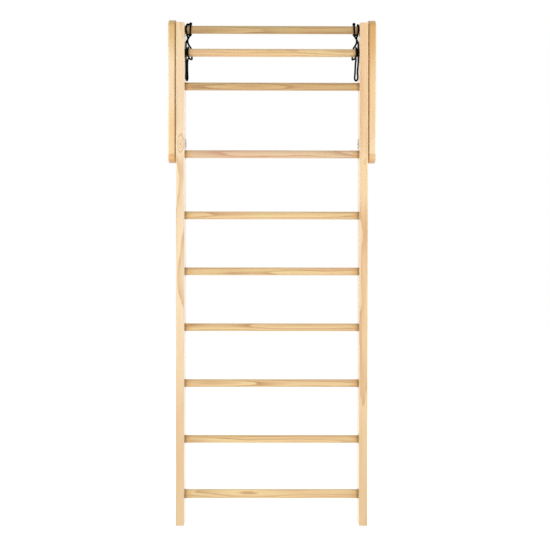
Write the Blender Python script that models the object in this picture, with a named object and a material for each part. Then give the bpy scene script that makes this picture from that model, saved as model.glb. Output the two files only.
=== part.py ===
"""Wooden wall bars with two swing-down side arms and a cord sling at each top corner.

Metres, +Z up. The origin is on the floor, in the middle of the ladder's width and depth. The user stands at -Y
and the wall is at +Y. Every piece that comes in a left and a right version is made once for side = -1 (left)
and once for side = +1 (right); "out" is the distance from the middle of the ladder towards that side.
"""

from math import cos, pi, radians, sin

import bmesh
import bpy
from mathutils import Matrix, Vector

GAP = 0.0003
SIDES = {"left": -1, "right": 1}

# Ladder
STILE_HEIGHT = 2.300
STILE_WIDTH = 0.038
STILE_DEPTH = 0.100
STILE_EDGE = 0.0025
CLEAR_WIDTH = 0.800
RUNG_RADIUS = 0.0185
RUNG_PITCH = 0.258
RUNG_9_HEIGHT = 0.390
RUNG_4_HEIGHT = 1.704
RUNG_3_HEIGHT = 2.0155
RUNG_2_HEIGHT = 2.1705
RUNG_1_HEIGHT = 2.276
RAIL_HEIGHT = 0.1375
RAIL_WIDTH = 0.040
RAIL_THICKNESS = 0.022
RAIL_EDGE = 0.003
SEAT_DEPTH = 0.020
ROUND_SIDES = 32

INNER = CLEAR_WIDTH / 2
OUTER = INNER + STILE_WIDTH
SEAT_FLOOR = INNER + SEAT_DEPTH
WALL_Y = STILE_DEPTH / 2

# Connecting screws
SCREW_HEAD_RADIUS = 0.005
SCREW_HEAD_LENGTH = 0.0045
SCREW_RADIUS = 0.0032
SCREW_LENGTH = 0.050
SCREW_SUNK = 0.0008

# Side arms, their pivots and their stops
ARM_THICKNESS = 0.036
ARM_HALF_DEPTH = 0.042
ARM_REACH = 0.573
ARM_EDGE = 0.006
ARM_GAP = 0.0016
ARM_INNER = OUTER + ARM_GAP
ARM_OUTER = ARM_INNER + ARM_THICKNESS
COUNTERBORE_DEPTH = 0.012
COUNTERBORE_RADIUS = 0.015
COUNTERBORE_FLOOR = ARM_OUTER - COUNTERBORE_DEPTH
BOLT_RADIUS = 0.005
BOLT_HEAD_RADIUS = 0.0085
BOLT_HEAD_LENGTH = 0.0065
BOLT_KEY_RADIUS = 0.0046
BOLT_KEY_DEPTH = 0.004
BOLT_TIP = 0.383
BUSH_RADIUS = 0.008
INSERT_RADIUS = 0.008
INSERT_LENGTH = 0.040
WASHER_RADIUS = 0.0135
WASHER_THICKNESS = 0.002
SPACER_THICKNESS = 0.001
RUNNING_GAP = 0.0004
STOP_RADIUS = 0.004
STOP_SWING_RADIUS = 0.028
STOP_EMBEDDED = 0.0217
STOP_PROUD = 0.0096
GROOVE_DEPTH = 0.009
GROOVE_CLEARANCE = 0.00035
ARM_SWING = radians(90)

# Wall hanger plates
HANGER_HEIGHT = 0.040
HANGER_THICKNESS = 0.002
HANGER_CENTRE = 1.755
HANGER_INNER_LEG = 0.055
HANGER_BACK_LEG = 0.028
KEYHOLE_RADIUS = 0.0045
KEYHOLE_SLOT = 0.0025
KEYHOLE_OUT = INNER + 0.015
KEYHOLE_DROP = 0.007
KEYHOLE_RISE = 0.010
KEYHOLE_POCKET_RADIUS = 0.0055
KEYHOLE_POCKET_DEPTH = 0.008
HANGER_SCREW_RADIUS = 0.002
HANGER_SCREW_HEAD_RADIUS = 0.004
HANGER_SCREW_HEAD = 0.0022
HANGER_SCREW_LENGTH = 0.0176
HANGER_SCREW_Y = {"front": 0.006, "rear": 0.031}

# Cord slings
CORD_RADIUS = 0.0042
CORD_STEP = 0.0130
WRAP_RADIUS = RUNG_RADIUS + CORD_RADIUS + 0.0013
KNOT_RADIUS = 0.0074
KNOT_LENGTH = 0.0175
KNOT_GAP = 0.0030
KNOT_TURN = 165
EYE_BOTTOM = 2.0402

# How each sling lies. Widths are distances in from the inner face of its stile: near and far are its two strands
# on rung 1, lean how far the near one wanders over the top, second its wrapped strand on rung 2, tail the rear
# strand of its tail. droop is the depth of its loose turn below rung 2, eye the radius of the open eye at the foot
# of the tail, which is turned about the vertical.
SLINGS = {
    "left": {
        "near": 0.0050,
        "far": 0.0252,
        "lean": 0.0085,
        "second": 0.0134,
        "tail": 0.0117,
        "droop": 0.0312,
        "eye": 0.0128,
        "eye_turn": radians(75.5),
        "eye_in": 0.0086,
    },
    "right": {
        "near": 0.0050,
        "far": 0.0240,
        "lean": 0.0010,
        "second": 0.0134,
        "tail": 0.0174,
        "droop": 0.0305,
        "eye": 0.0138,
        "eye_turn": radians(64),
        "eye_in": 0.0140,
    },
}

COLOURS = {
    "pine_stile": ((0.83, 0.66, 0.42), 0.50, 0.0),
    "pine_rung": ((0.78, 0.58, 0.35), 0.48, 0.0),
    "pine_arm": ((0.80, 0.57, 0.32), 0.48, 0.0),
    "zinc_steel": ((0.62, 0.62, 0.60), 0.38, 1.0),
    "black_steel": ((0.03, 0.03, 0.032), 0.42, 1.0),
    "brass": ((0.72, 0.55, 0.28), 0.35, 1.0),
    "nylon": ((0.85, 0.85, 0.82), 0.55, 0.0),
    "black_cord": ((0.012, 0.012, 0.013), 0.80, 0.0),
}


def clear_scene():
    for thing in list(bpy.data.objects):
        bpy.data.objects.remove(thing, do_unlink=True)


def material(name):
    found = bpy.data.materials.get(name)
    if found:
        return found
    colour, roughness, metallic = COLOURS[name]
    made = bpy.data.materials.new(name)
    made.use_nodes = True
    shader = made.node_tree.nodes["Principled BSDF"]
    shader.inputs["Base Color"].default_value = (*colour, 1.0)
    shader.inputs["Roughness"].default_value = roughness
    shader.inputs["Metallic"].default_value = metallic
    return made


def add(name, mesh, colour, place=(0, 0, 0), parent=None, smooth=True):
    """Put a mesh into the scene as one named piece; place is in world coordinates."""
    mesh.materials.clear()
    mesh.materials.append(material(colour))
    if smooth:
        mesh.shade_smooth()
        mesh.set_sharp_from_angle(angle=radians(35))
    piece = bpy.data.objects.new(name, mesh)
    bpy.context.scene.collection.objects.link(piece)
    if parent:
        piece.parent = parent
        piece.location = Vector(place) - parent.location
    else:
        piece.location = place
    return piece


def mesh_of(shape, name):
    bmesh.ops.recalc_face_normals(shape, faces=shape.faces)
    mesh = bpy.data.meshes.new(name)
    shape.to_mesh(mesh)
    shape.free()
    return mesh


def box_mesh(name, low, high):
    shape = bmesh.new()
    bmesh.ops.create_cube(shape, size=1.0)
    size = Vector(high) - Vector(low)
    middle = (Vector(high) + Vector(low)) / 2
    bmesh.ops.scale(shape, vec=size, verts=shape.verts)
    bmesh.ops.translate(shape, vec=middle, verts=shape.verts)
    return mesh_of(shape, name)


def prism_mesh(name, outline, low, high):
    """Extrude an outline of (y, z) points along X from low to high."""
    shape = bmesh.new()
    ring = [shape.verts.new((low, y, z)) for y, z in outline]
    face = shape.faces.new(ring)
    grown = bmesh.ops.extrude_face_region(shape, geom=[face])
    moved = [item for item in grown["geom"] if isinstance(item, bmesh.types.BMVert)]
    bmesh.ops.translate(shape, vec=(high - low, 0, 0), verts=moved)
    return mesh_of(shape, name)


def turned_mesh(name, profile, sides):
    """Turn a closed or axis-to-axis profile of (along, radius) points about the X axis."""
    shape = bmesh.new()
    rings = []
    for along, radius in profile:
        if radius == 0:
            rings.append([shape.verts.new((along, 0, 0))])
            continue
        turns = [2 * pi * step / sides for step in range(sides)]
        rings.append([shape.verts.new((along, radius * cos(t), radius * sin(t))) for t in turns])
    hollow = profile[0][1] > 0
    pairs = list(zip(rings, rings[1:]))
    if hollow:
        pairs.append((rings[-1], rings[0]))
    for ring, following in pairs:
        for step in range(sides):
            after = (step + 1) % sides
            if len(ring) == 1:
                shape.faces.new((ring[0], following[step], following[after]))
            elif len(following) == 1:
                shape.faces.new((ring[step], ring[after], following[0]))
            else:
                shape.faces.new((ring[step], ring[after], following[after], following[step]))
    return mesh_of(shape, name)


def rod_profile(start, end, radius):
    return [(start, 0), (start, radius), (end, radius), (end, 0)]


def ring_profile(start, end, outer, inner):
    return [(start, inner), (start, outer), (end, outer), (end, inner)]


def mirrored(profile, side):
    """A profile along +X, turned round to run towards the given side."""
    return [(side * along, radius) for along, radius in profile]


def cutter(name, mesh, place=(0, 0, 0), rotation=(0, 0, 0)):
    tool = bpy.data.objects.new(name, mesh)
    bpy.context.scene.collection.objects.link(tool)
    tool.location = place
    tool.rotation_euler = rotation
    tool.hide_render = True
    tool.display_type = "WIRE"
    return tool


def cut(piece, tools):
    """Subtract every tool from a piece, through one collection."""
    group = bpy.data.collections.new(f"{piece.name}_cuts")
    for tool in tools:
        group.objects.link(tool)
        tool.parent = piece.parent
        if piece.parent:
            tool.location = Vector(tool.location) - piece.parent.location
    boolean = piece.modifiers.new("cuts", "BOOLEAN")
    boolean.operation = "DIFFERENCE"
    boolean.solver = "EXACT"
    boolean.operand_type = "COLLECTION"
    boolean.collection = group


def round_edges(piece, width, segments):
    bevel = piece.modifiers.new("edges", "BEVEL")
    bevel.width = width
    bevel.segments = segments
    bevel.limit_method = "ANGLE"
    bevel.angle_limit = radians(50)


def rung_heights():
    """Height of each rung's axis, from rung 1 at the top to rung 9."""
    upper = {1: RUNG_1_HEIGHT, 2: RUNG_2_HEIGHT, 3: RUNG_3_HEIGHT, 4: RUNG_4_HEIGHT}
    lower = {number: RUNG_9_HEIGHT + (9 - number) * RUNG_PITCH for number in range(5, 10)}
    return {**upper, **lower}


def rod_cutter(name, side, start, end, radius, y, z, sides=ROUND_SIDES):
    mesh = turned_mesh(name, mirrored(rod_profile(start, end, radius), side), sides)
    return cutter(name, mesh, (0, y, z))


def stile_cuts(label, side):
    """Seats for the rungs and the rail, and holes for the screws, the pivot bolt, the stop pin and the hanger."""
    tools = []
    past = INNER - 0.01
    for number, height in rung_heights().items():
        seat = rod_cutter(f"seat_{label}_{number}", side, past, SEAT_FLOOR, RUNG_RADIUS + GAP, 0, height)
        tools.append(seat)
        if number == 4:
            way = rod_cutter(f"bolt_way_{label}", side, past, OUTER + 0.01, BOLT_RADIUS + 0.0005, 0, height, 16)
            tools.append(way)
        else:
            tools += screw_cuts(label, side, height, f"rung_{number}")
    rail_low = (side * past, -RAIL_THICKNESS / 2 - GAP, RAIL_HEIGHT - RAIL_WIDTH / 2 - GAP)
    rail_high = (side * SEAT_FLOOR, RAIL_THICKNESS / 2 + GAP, RAIL_HEIGHT + RAIL_WIDTH / 2 + GAP)
    lows = [min(pair) for pair in zip(rail_low, rail_high)]
    highs = [max(pair) for pair in zip(rail_low, rail_high)]
    tools.append(cutter(f"rail_seat_{label}", box_mesh("rail_seat", lows, highs)))
    tools += screw_cuts(label, side, RAIL_HEIGHT, "rail")
    stop_floor = OUTER - STOP_EMBEDDED - GAP
    stop_height = RUNG_4_HEIGHT - STOP_SWING_RADIUS
    tools.append(
        rod_cutter(f"stop_hole_{label}", side, stop_floor, OUTER + 0.01, STOP_RADIUS + GAP, 0, stop_height, 16)
    )
    tools += hanger_cuts(label, side)
    return tools


def screw_cuts(label, side, height, use):
    head_floor = OUTER - SCREW_SUNK - SCREW_HEAD_LENGTH - GAP
    return [
        rod_cutter(f"screw_way_{label}_{use}", side, SEAT_FLOOR - 0.005, OUTER, SCREW_RADIUS + 0.0005, 0, height, 12),
        rod_cutter(
            f"screw_head_way_{label}_{use}", side, head_floor, OUTER + 0.01, SCREW_HEAD_RADIUS + 0.0005, 0, height, 16
        ),
    ]


def hanger_cuts(label, side):
    """Rebate for the plate's back leg, room behind its keyhole, and pilot holes for its two screws."""
    rebate_floor = WALL_Y - HANGER_THICKNESS - GAP
    outs = (side * (INNER - 0.01), side * (INNER + HANGER_BACK_LEG + GAP))
    low = (min(outs), rebate_floor, HANGER_CENTRE - HANGER_HEIGHT / 2 - GAP)
    high = (max(outs), WALL_Y + 0.01, HANGER_CENTRE + HANGER_HEIGHT / 2 + GAP)
    tools = [cutter(f"rebate_{label}", box_mesh("rebate", low, high))]
    pocket_floor = rebate_floor - KEYHOLE_POCKET_DEPTH
    for part, radius, height in keyhole_steps(KEYHOLE_POCKET_RADIUS, KEYHOLE_POCKET_RADIUS):
        tools.append(hole_along_y(f"pocket_{part}_{label}", side * KEYHOLE_OUT, pocket_floor, radius, height))
    for where, y in HANGER_SCREW_Y.items():
        floor = INNER - HANGER_THICKNESS + HANGER_SCREW_LENGTH + 0.001
        radius = HANGER_SCREW_RADIUS + 0.0004
        tools.append(rod_cutter(f"pilot_{label}_{where}", side, INNER - 0.01, floor, radius, y, HANGER_CENTRE, 12))
    return tools


def keyhole_steps(hole_radius, slot_radius):
    """The round holes that make a keyhole: a wide one below and a row of narrow ones that rises from it."""
    steps = [("hole", hole_radius, HANGER_CENTRE - KEYHOLE_DROP)]
    for number in (1, 2, 3):
        rise = KEYHOLE_RISE * number / 3
        steps.append((f"slot_{number}", slot_radius, HANGER_CENTRE - KEYHOLE_DROP + rise))
    return steps


def hole_along_y(name, x, floor, radius, height):
    mesh = turned_mesh(name, rod_profile(0, WALL_Y + 0.01 - floor, radius), 20)
    return cutter(name, mesh, (x, floor, height), (0, 0, pi / 2))


def make_stile(label, side, frame):
    low = (side * (INNER + STILE_WIDTH / 2) - STILE_WIDTH / 2, -STILE_DEPTH / 2, 0)
    high = (side * (INNER + STILE_WIDTH / 2) + STILE_WIDTH / 2, STILE_DEPTH / 2, STILE_HEIGHT)
    stile = add(f"stile_{label}", box_mesh("stile", low, high), "pine_stile", parent=frame)
    round_edges(stile, STILE_EDGE, 2)
    cut(stile, stile_cuts(label, side))


def make_rung(number, height, frame):
    half = SEAT_FLOOR - GAP
    mesh = turned_mesh("rung", rod_profile(-half, half, RUNG_RADIUS), ROUND_SIDES)
    rung = add(f"rung_{number}", mesh, "pine_rung", (0, 0, height), frame)
    tools = []
    for label, side in SIDES.items():
        if number == 4:
            floor = half - INSERT_LENGTH - 0.003
            way = rod_cutter(f"insert_way_{label}", side, floor, half + 0.01, INSERT_RADIUS + GAP, 0, height, 20)
            tools.append(way)
        else:
            tools.append(pilot_hole(f"pilot_{label}_{number}", side, height))
    cut(rung, tools)


def pilot_hole(name, side, height):
    floor = OUTER - SCREW_SUNK - SCREW_LENGTH - 0.002
    return rod_cutter(name, side, floor, SEAT_FLOOR + 0.01, SCREW_RADIUS + 0.0005, 0, height, 12)


def make_rail(frame):
    half = SEAT_FLOOR - GAP
    low = (-half, -RAIL_THICKNESS / 2, -RAIL_WIDTH / 2)
    high = (half, RAIL_THICKNESS / 2, RAIL_WIDTH / 2)
    rail = add("bottom_rail", box_mesh("rail", low, high), "pine_rung", (0, 0, RAIL_HEIGHT), frame)
    round_edges(rail, RAIL_EDGE, 2)
    cut(rail, [pilot_hole(f"pilot_{label}_rail", side, RAIL_HEIGHT) for label, side in SIDES.items()])


def make_screws(label, side, frame):
    """One connecting screw into each rung end and into each end of the rail."""
    head_top = OUTER - SCREW_SUNK
    head_floor = head_top - SCREW_HEAD_LENGTH
    tip = head_top - SCREW_LENGTH
    profile = [
        (tip, 0),
        (tip + 0.004, SCREW_RADIUS),
        (head_floor, SCREW_RADIUS),
        (head_floor, SCREW_HEAD_RADIUS),
        (head_top, SCREW_HEAD_RADIUS),
        (head_top, SCREW_HEAD_RADIUS * 0.45),
        (head_top - 0.0025, SCREW_HEAD_RADIUS * 0.45),
        (head_top - 0.0025, 0),
    ]
    mesh = turned_mesh("connecting_screw", mirrored(profile, side), 12)
    places = {f"rung_{number}": height for number, height in rung_heights().items() if number != 4}
    places["rail"] = RAIL_HEIGHT
    for use, height in places.items():
        add(f"screw_{use}_{label}", mesh, "zinc_steel", (0, 0, height), frame)


def make_pivot(label, side, frame):
    """What stays with the ladder at an arm's pivot: insert, spacer, washer, bolt, and the stop pin below it."""
    axis = (0, 0, RUNG_4_HEIGHT)
    insert_end = SEAT_FLOOR - GAP - 0.0005
    bore = BOLT_RADIUS + RUNNING_GAP
    turned = {
        "rung_insert": ring_profile(insert_end - INSERT_LENGTH, insert_end, INSERT_RADIUS, bore),
        "spacer_washer": ring_profile(OUTER + GAP, OUTER + GAP + SPACER_THICKNESS, WASHER_RADIUS, bore),
        "head_washer": ring_profile(
            COUNTERBORE_FLOOR + GAP, COUNTERBORE_FLOOR + GAP + WASHER_THICKNESS, WASHER_RADIUS, bore
        ),
        "pivot_bolt": bolt_profile(),
    }
    colours = {"rung_insert": "brass", "spacer_washer": "nylon"}
    for name, profile in turned.items():
        mesh = turned_mesh(name, mirrored(profile, side), 20)
        add(f"{name}_{label}", mesh, colours.get(name, "black_steel"), axis, frame)
    pin = rod_profile(OUTER - STOP_EMBEDDED, OUTER + STOP_PROUD, STOP_RADIUS)
    mesh = turned_mesh("stop_pin", mirrored(pin, side), 16)
    add(f"stop_pin_{label}", mesh, "zinc_steel", (0, 0, RUNG_4_HEIGHT - STOP_SWING_RADIUS), frame)


def bolt_profile():
    """Socket-head bolt from its tip to its head, with the key socket as a round recess."""
    under_head = COUNTERBORE_FLOOR + 2 * GAP + WASHER_THICKNESS
    top = under_head + BOLT_HEAD_LENGTH
    return [
        (BOLT_TIP, 0),
        (BOLT_TIP, BOLT_RADIUS - 0.001),
        (BOLT_TIP + 0.001, BOLT_RADIUS),
        (under_head, BOLT_RADIUS),
        (under_head, BOLT_HEAD_RADIUS),
        (top - 0.0008, BOLT_HEAD_RADIUS),
        (top, BOLT_HEAD_RADIUS - 0.0008),
        (top, BOLT_KEY_RADIUS),
        (top - BOLT_KEY_DEPTH, BOLT_KEY_RADIUS),
        (top - BOLT_KEY_DEPTH, 0),
    ]


def make_arm(label, side):
    """An arm hangs on an empty at its pivot, so turning the empty about X swings it."""
    pivot = bpy.data.objects.new(f"pivot_{label}", None)
    bpy.context.scene.collection.objects.link(pivot)
    pivot.location = (side * ARM_INNER, 0, RUNG_4_HEIGHT)
    outs = sorted((0, side * ARM_THICKNESS))
    mesh = prism_mesh("arm", arm_outline(), *outs)
    arm = add(f"arm_{label}", mesh, "pine_arm", pivot.location, pivot)
    round_edges(arm, ARM_EDGE, 3)
    past = ARM_OUTER + 0.01
    height = RUNG_4_HEIGHT
    cut(
        arm,
        [
            rod_cutter(f"bush_way_{label}", side, ARM_INNER - 0.01, past, BUSH_RADIUS + GAP, 0, height, 24),
            rod_cutter(f"counterbore_{label}", side, COUNTERBORE_FLOOR, past, COUNTERBORE_RADIUS, 0, height, 32),
            groove_cutter(label, side),
        ],
    )
    profile = ring_profile(ARM_INNER + 0.0002, COUNTERBORE_FLOOR - 0.0002, BUSH_RADIUS, BOLT_RADIUS + RUNNING_GAP)
    profile = [(along - ARM_INNER, radius) for along, radius in profile]
    bush = turned_mesh("arm_bush", mirrored(profile, side), 24)
    add(f"arm_bush_{label}", bush, "brass", pivot.location, pivot)


def arm_outline():
    """A long oval: half circles about the pivot and about the far end's centre."""
    steps = 16
    lower = [pi + pi * step / steps for step in range(steps + 1)]
    upper = [pi * step / steps for step in range(steps + 1)]
    outline = [(ARM_HALF_DEPTH * cos(t), ARM_HALF_DEPTH * sin(t)) for t in lower]
    outline += [(ARM_HALF_DEPTH * cos(t), ARM_REACH + ARM_HALF_DEPTH * sin(t)) for t in upper]
    return outline


def groove_cutter(label, side):
    """A quarter-turn groove about the pivot, from straight below it round to the front."""
    half = STOP_RADIUS + GROOVE_CLEARANCE
    start = -pi / 2
    steps = 15
    end_steps = 8
    outline = []
    for step in range(steps + 1):
        turn = start - ARM_SWING * step / steps
        outline.append(polar(STOP_SWING_RADIUS + half, turn))
    far = polar(STOP_SWING_RADIUS, start - ARM_SWING)
    outline += [offset(far, half, start - ARM_SWING - pi * step / end_steps) for step in range(1, end_steps)]
    for step in range(steps + 1):
        turn = start - ARM_SWING * (1 - step / steps)
        outline.append(polar(STOP_SWING_RADIUS - half, turn))
    near = polar(STOP_SWING_RADIUS, start)
    outline += [offset(near, half, start + pi - pi * step / end_steps) for step in range(1, end_steps)]
    outs = sorted((side * (ARM_INNER - 0.01), side * (ARM_INNER + GROOVE_DEPTH)))
    return cutter(f"groove_{label}", prism_mesh("groove", outline, *outs), (0, 0, RUNG_4_HEIGHT))


def polar(radius, turn):
    return (radius * cos(turn), radius * sin(turn))


def offset(centre, radius, turn):
    return (centre[0] + radius * cos(turn), centre[1] + radius * sin(turn))


def make_hanger(label, side, frame):
    """An L-shaped plate: one leg on the stile's inner face, the other let into its back, with a keyhole."""
    face = INNER - GAP
    outline = [
        (side * face, WALL_Y - HANGER_INNER_LEG),
        (side * (face - HANGER_THICKNESS), WALL_Y - HANGER_INNER_LEG),
        (side * (face - HANGER_THICKNESS), WALL_Y),
        (side * (INNER + HANGER_BACK_LEG), WALL_Y),
        (side * (INNER + HANGER_BACK_LEG), WALL_Y - HANGER_THICKNESS),
        (side * face, WALL_Y - HANGER_THICKNESS),
    ]
    shape = bmesh.new()
    ring = [shape.verts.new((x, y, -HANGER_HEIGHT / 2)) for x, y in outline]
    grown = bmesh.ops.extrude_face_region(shape, geom=[shape.faces.new(ring)])
    moved = [item for item in grown["geom"] if isinstance(item, bmesh.types.BMVert)]
    bmesh.ops.translate(shape, vec=(0, 0, HANGER_HEIGHT), verts=moved)
    plate = add(f"wall_hanger_{label}", mesh_of(shape, "hanger"), "zinc_steel", (0, 0, HANGER_CENTRE), frame)
    tools = [
        hole_along_y(f"keyhole_{part}_{label}", side * KEYHOLE_OUT, WALL_Y - 0.006, radius, height)
        for part, radius, height in keyhole_steps(KEYHOLE_RADIUS, KEYHOLE_SLOT)
    ]
    hole = HANGER_SCREW_RADIUS + 0.0004
    for where, y in HANGER_SCREW_Y.items():
        tools.append(
            rod_cutter(f"plate_hole_{label}_{where}", side, INNER - 0.01, INNER + 0.001, hole, y, HANGER_CENTRE, 12)
        )
    cut(plate, tools)
    under_head = face - HANGER_THICKNESS - GAP
    profile = [
        (under_head - HANGER_SCREW_HEAD, 0),
        (under_head - HANGER_SCREW_HEAD, HANGER_SCREW_HEAD_RADIUS * 0.6),
        (under_head - HANGER_SCREW_HEAD * 0.4, HANGER_SCREW_HEAD_RADIUS),
        (under_head, HANGER_SCREW_HEAD_RADIUS),
        (under_head, HANGER_SCREW_RADIUS),
        (under_head + HANGER_SCREW_LENGTH - 0.003, HANGER_SCREW_RADIUS),
        (under_head + HANGER_SCREW_LENGTH, 0),
    ]
    mesh = turned_mesh("hanger_screw", mirrored(profile, side), 12)
    for where, y in HANGER_SCREW_Y.items():
        add(f"hanger_screw_{where}_{label}", mesh, "zinc_steel", (0, y, HANGER_CENTRE), frame)


# Slings. A route point is (in, y, z): how far in from the stile's inner face, and the usual y and z.
# A turn about a rung counts degrees from its underside, by its front (90) and its top (180), to its back (270).


def about(height, inward, turn, lift=0.0):
    t = radians(turn)
    radius = WRAP_RADIUS + lift
    return (inward, -radius * sin(t), height - radius * cos(t))


def knot_end(inward, along):
    """A point on the axis of the knot, which rests on rung 1."""
    t = radians(KNOT_TURN)
    reach = RUNG_RADIUS + KNOT_RADIUS + 0.0004
    y = -reach * sin(t) - along * cos(t)
    z = RUNG_1_HEIGHT - reach * cos(t) + along * sin(t)
    return (inward, y, z)


def pair_points(middle, sign):
    """One strand of the pair that hangs from rung 1 to rung 2 with half a twist in it."""
    points = []
    for drop, centre, y, twist, half in (
        (0.0365, middle, -0.0088, 45, 0.0049),
        (0.0445, 0.66 * middle + 0.0034, -0.0118, 72, 0.0049),
        (0.0528, 0.34 * middle + 0.0058, -0.0138, 98, 0.0049),
        (0.0612, 0.0092, -0.0152, 130, 0.0050),
    ):
        t = radians(twist)
        shift = sign * half
        points.append((centre + shift * cos(t), y - shift * sin(t), RUNG_1_HEIGHT - drop))
    return points


def eye_points(radius, turned, inward):
    """The open eye at the foot of the tail, in a plane that is turned about the vertical."""
    middle_y = -0.0195
    centre = EYE_BOTTOM + radius
    sides = [(-0.80 * radius, centre + 0.020)]
    for step in range(9):
        turn = pi * (1 + step / 8)
        sides.append((radius * cos(turn), centre + radius * sin(turn)))
    sides.append((0.80 * radius, centre + 0.020))
    return [(inward + across * cos(turned), middle_y + across * sin(turned), z) for across, z in sides]


def sling_route(near, far, lean, second, tail, droop, eye, eye_turn, eye_in):
    """One sling from the knot's front end, round the hitch, down, round rung 2, and back up to the knot.

    The hitch is a turn of cord laid over rung 1 from behind, with the hanging strands brought through it.
    """
    top = RUNG_1_HEIGHT
    low = RUNG_2_HEIGHT
    middle = (near + far) / 2
    half_knot = KNOT_LENGTH / 2 + KNOT_GAP
    hitch = [
        knot_end(far, -half_knot),
        about(top, far, 114, 0.0010),
        about(top, far, 92),
        about(top, far - 0.0004, 68),
        (middle + 0.42 * (far - near), -0.0216, top - 0.0216),
        (middle + 0.28 * (far - near), -0.0226, top - 0.0262),
        (middle, -0.0231, top - 0.0284),
        (middle - 0.28 * (far - near), -0.0226, top - 0.0262),
        (middle - 0.42 * (far - near), -0.0216, top - 0.0216),
        about(top, near + 0.0004, 68),
        about(top, near, 95),
        about(top, near + 0.35 * lean, 137),
        about(top, near + lean, 180, 0.20 * lean),
        about(top, near + lean, 223, 0.10 * lean),
        about(top, near + 0.8 * lean, 267),
        about(top, near + 0.4 * lean, 312),
        (near + 0.0016, 0.0090, top - 0.0242),
        (middle - 0.0056, -0.0008, top - 0.0288),
        *pair_points(middle, -1),
    ]
    turns = [
        (second + 0.0044, -0.0088, low + 0.0318),
        about(low, second + 0.0101, 174, 0.0008),
        about(low, second + 0.0118, 215),
        about(low, second + 0.0134, 260),
        about(low, second + 0.0150, 302),
        (second + 0.0164, 0.0082, low - 0.0275),
        (second + 0.0146, -0.0035, low - droop),
        (second + 0.0098, -0.0152, low - droop - 0.0006),
        (second + 0.0042, -0.0240, low - droop + 0.0050),
        (second + 0.0006, -0.0276, low - 0.0165),
        about(low, second, 93, 0.0008),
        about(low, second, 137),
        about(low, second, 180),
        about(low, second + 0.0004, 223),
        about(low, second + 0.0006, 266),
        about(low, second + 0.0008, 306),
        about(low, second + 0.0010, 340, 0.0012),
        (0.8 * second + 0.2 * tail, -0.0062, low - 0.0308),
        (tail - 0.0004, -0.0150, low - 0.0500),
    ]
    front = [
        (0.0054, -0.0235, low - 0.0480),
        (0.0050, -0.0243, low - 0.0200),
        about(low, 0.0047, 92, 0.0004),
        about(low, 0.0048, 130, 0.0010),
        (0.0050, -0.0186, low + 0.0280),
        *reversed(pair_points(middle, 1)),
        (middle + 0.0058, -0.0028, top - 0.0284),
        (far - 0.0020, 0.0066, top - 0.0249),
        about(top, far, 312),
        about(top, far, 267),
        about(top, far, 229, 0.0006),
        knot_end(far, half_knot),
    ]
    eye_line = eye_points(eye, eye_turn, eye_in)
    return hitch + turns + list(reversed(eye_line)) + front


def smooth_line(points, step):
    """Points at even steps along a smooth curve through the given points."""
    points = [Vector(point) for point in points]
    ends = [points[0] * 2 - points[1]] + points + [points[-1] * 2 - points[-2]]
    fine = []
    for before, start, end, after in zip(ends, ends[1:], ends[2:], ends[3:]):
        fine += [catmull(before, start, end, after, part / 16) for part in range(16)]
    fine.append(points[-1])
    lengths = [0.0]
    for start, end in zip(fine, fine[1:]):
        lengths.append(lengths[-1] + (end - start).length)
    count = round(lengths[-1] / step)
    line = []
    index = 0
    for number in range(count + 1):
        wanted = lengths[-1] * number / count
        while index < len(fine) - 2 and lengths[index + 1] < wanted:
            index += 1
        share = (wanted - lengths[index]) / (lengths[index + 1] - lengths[index])
        line.append(fine[index].lerp(fine[index + 1], min(1.0, share)))
    return line


def catmull(before, start, end, after, share):
    """Centripetal Catmull-Rom curve between start and end."""
    t0 = 0.0
    t1 = t0 + (start - before).length ** 0.5
    t2 = t1 + (end - start).length ** 0.5
    t3 = t2 + (after - end).length ** 0.5
    t = t1 + (t2 - t1) * share
    a1 = before * ((t1 - t) / (t1 - t0)) + start * ((t - t0) / (t1 - t0))
    a2 = start * ((t2 - t) / (t2 - t1)) + end * ((t - t1) / (t2 - t1))
    a3 = end * ((t3 - t) / (t3 - t2)) + after * ((t - t2) / (t3 - t2))
    b1 = a1 * ((t2 - t) / (t2 - t0)) + a2 * ((t - t0) / (t2 - t0))
    b2 = a2 * ((t3 - t) / (t3 - t1)) + a3 * ((t - t1) / (t3 - t1))
    return b1 * ((t2 - t) / (t2 - t1)) + b2 * ((t - t1) / (t2 - t1))


def make_sling(label, side, frame):
    spec = SLINGS[label]
    line = smooth_line(sling_route(**spec), CORD_STEP)
    curve = bpy.data.curves.new(f"sling_{label}", "CURVE")
    curve.dimensions = "3D"
    curve.bevel_depth = CORD_RADIUS
    curve.bevel_resolution = 2
    curve.use_fill_caps = True
    spline = curve.splines.new("POLY")
    spline.points.add(len(line) - 1)
    for point, (inward, y, z) in zip(spline.points, line):
        point.co = (side * (INNER - inward), y, z, 1)
    curve.materials.append(material("black_cord"))
    sling = bpy.data.objects.new(f"sling_{label}", curve)
    bpy.context.scene.collection.objects.link(sling)
    sling.parent = frame
    turns = [pi * step / 8 for step in range(9)]
    profile = [(-KNOT_LENGTH / 2 * cos(t), KNOT_RADIUS * sin(t) if 0 < t < pi else 0) for t in turns]
    mesh = turned_mesh("sling_knot", profile, 16)
    t = radians(KNOT_TURN)
    mesh.transform(Matrix.Rotation(pi / 2, 4, "Z"))
    mesh.transform(Matrix.Rotation(pi - t, 4, "X"))
    inward, y, z = knot_end(spec["far"], 0)
    add(f"sling_knot_{label}", mesh, "black_cord", (side * (INNER - inward), y, z), frame)


def build():
    clear_scene()
    frame = bpy.data.objects.new("ladder", None)
    bpy.context.scene.collection.objects.link(frame)
    for number, height in rung_heights().items():
        make_rung(number, height, frame)
    make_rail(frame)
    for label, side in SIDES.items():
        make_stile(label, side, frame)
        make_screws(label, side, frame)
        make_pivot(label, side, frame)
        make_hanger(label, side, frame)
        make_arm(label, side)
        make_sling(label, side, frame)


build()
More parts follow.
